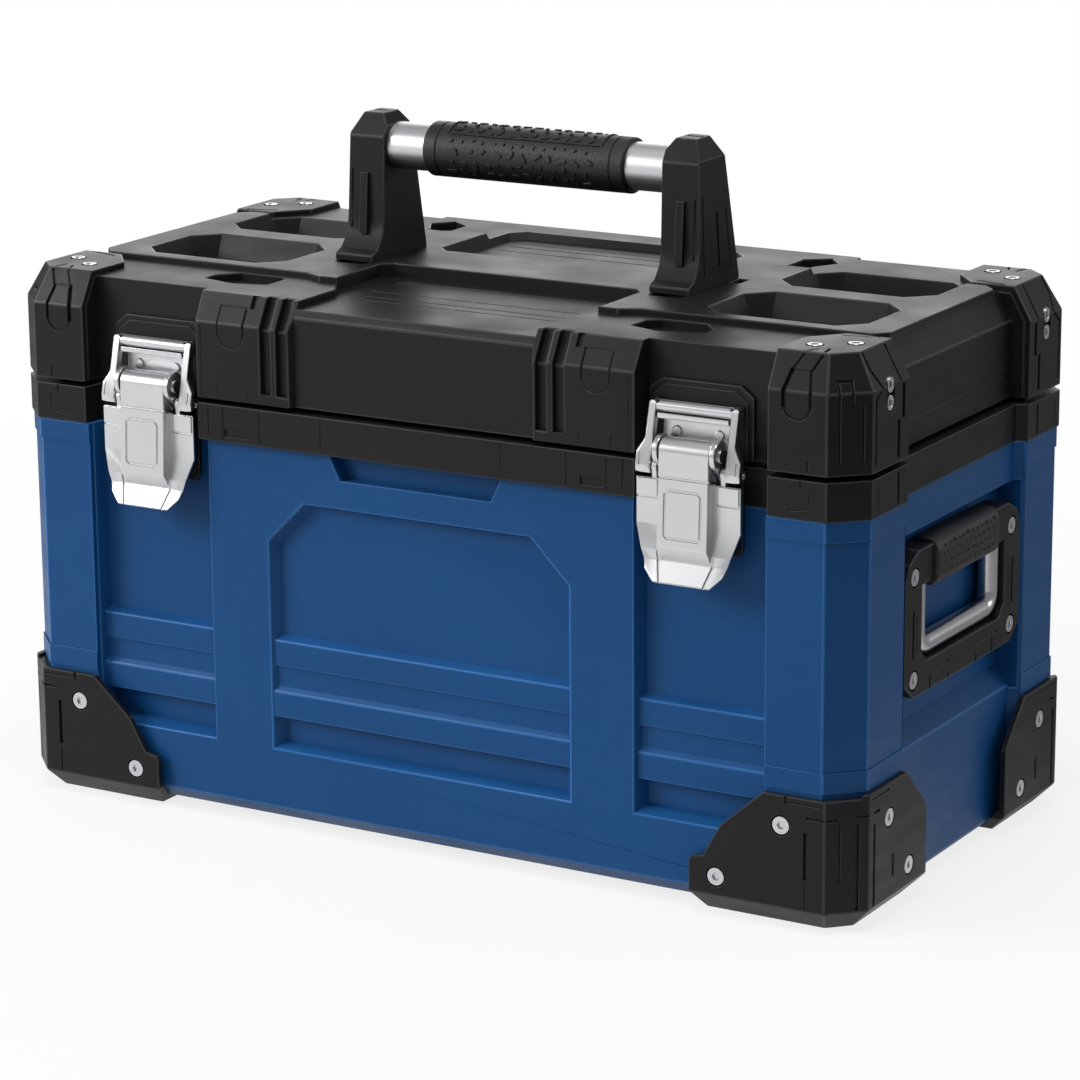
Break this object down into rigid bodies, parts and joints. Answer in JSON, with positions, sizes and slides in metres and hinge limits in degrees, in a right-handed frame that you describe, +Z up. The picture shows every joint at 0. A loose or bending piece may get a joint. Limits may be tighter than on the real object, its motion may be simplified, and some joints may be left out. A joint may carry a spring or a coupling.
{
  "type": "hard tool case",
  "caption": "Hard tool case with an arched moulded body, corner protectors, end handles, draw latches and a hinged lid with trays and a carrying handle.",
  "frame": {"origin": "centre of the footprint, on the floor, at the bottom of the bounding box", "axes": "+Z up, +X to the right along the case's length seen from the latch side, -Y out of the latch side"},
  "size_m": [0.5646, 0.3078, 0.408],
  "materials": {
    "body_plastic": "fine satin moulded",
    "black_plastic": "satin moulded",
    "seal_rubber": "matte",
    "grip_rubber": "matte dimpled",
    "tube_aluminium": "brushed",
    "loop_steel": "satin",
    "fastener_steel": "bright zinc",
    "latch_steel": "satin nickel",
    "hinge_steel": "satin"
  },
  "bodies": {
    "case": {"case_shell": "body_plastic", "rim_band": "black_plastic", "lid_seal": "seal_rubber", "protector_front_left": "black_plastic", "protector_front_right": "black_plastic", "protector_rear_left": "black_plastic", "protector_rear_right": "black_plastic", "protector_screws": "fastener_steel", "end_frame_left": "black_plastic", "end_frame_right": "black_plastic", "end_loop_left": "loop_steel", "end_loop_right": "loop_steel", "end_grip_left": "grip_rubber", "end_grip_right": "grip_rubber", "end_screws": "fastener_steel", "latch_mount_left": "black_plastic", "latch_mount_right": "black_plastic", "latch_base_left": "latch_steel", "latch_base_right": "latch_steel", "latch_base_screws": "fastener_steel", "lever_pins": "fastener_steel", "hinge_lower": "hinge_steel", "hinge_pins": "fastener_steel", "hinge_lower_screws": "fastener_steel"},
    "lid": {"lid_shell": "black_plastic", "cap_front_left": "black_plastic", "cap_front_right": "black_plastic", "cap_rear_left": "black_plastic", "cap_rear_right": "black_plastic", "cap_screws": "fastener_steel", "latch_pad_left": "black_plastic", "latch_pad_right": "black_plastic", "keeper_left": "latch_steel", "keeper_right": "latch_steel", "keeper_rivets": "fastener_steel", "hinge_upper": "hinge_steel", "hinge_upper_screws": "fastener_steel", "tower_left": "black_plastic", "tower_right": "black_plastic", "tower_screws": "fastener_steel", "handle_tube": "tube_aluminium", "handle_grip": "grip_rubber"},
    "lever_left": {"lever_left": "latch_steel", "bail_pins_left": "fastener_steel"},
    "lever_right": {"lever_right": "latch_steel", "bail_pins_right": "fastener_steel"},
    "bail_left": {"bail_left": "latch_steel"},
    "bail_right": {"bail_right": "latch_steel"}
  },
  "joints": [
    {"name": "lid_hinge", "type": "hinge", "parent": "case", "child": "lid", "pos_m": [0, 0.149, 0.2555], "axis": [-1, 0, 0], "range_deg": [0, 105]},
    {"name": "lever_left_pivot", "type": "hinge", "parent": "case", "child": "lever_left", "pos_m": [-0.1793, -0.1435, 0.2615], "axis": [-1, 0, 0], "range_deg": [0, 110]},
    {"name": "bail_left_pivot", "type": "hinge", "parent": "lever_left", "child": "bail_left", "pos_m": [-0.1793, -0.1425, 0.2515], "axis": [-1, 0, 0], "range_deg": [-110, 0]},
    {"name": "lever_right_pivot", "type": "hinge", "parent": "case", "child": "lever_right", "pos_m": [0.1793, -0.1435, 0.2615], "axis": [-1, 0, 0], "range_deg": [0, 110]},
    {"name": "bail_right_pivot", "type": "hinge", "parent": "lever_right", "child": "bail_right", "pos_m": [0.1793, -0.1425, 0.2515], "axis": [-1, 0, 0], "range_deg": [-110, 0]}
  ],
  "couplings": [
    {"joint": "bail_left_pivot", "follows": "lever_left_pivot", "ratio": -1},
    {"joint": "bail_right_pivot", "follows": "lever_right_pivot", "ratio": -1}
  ]
}
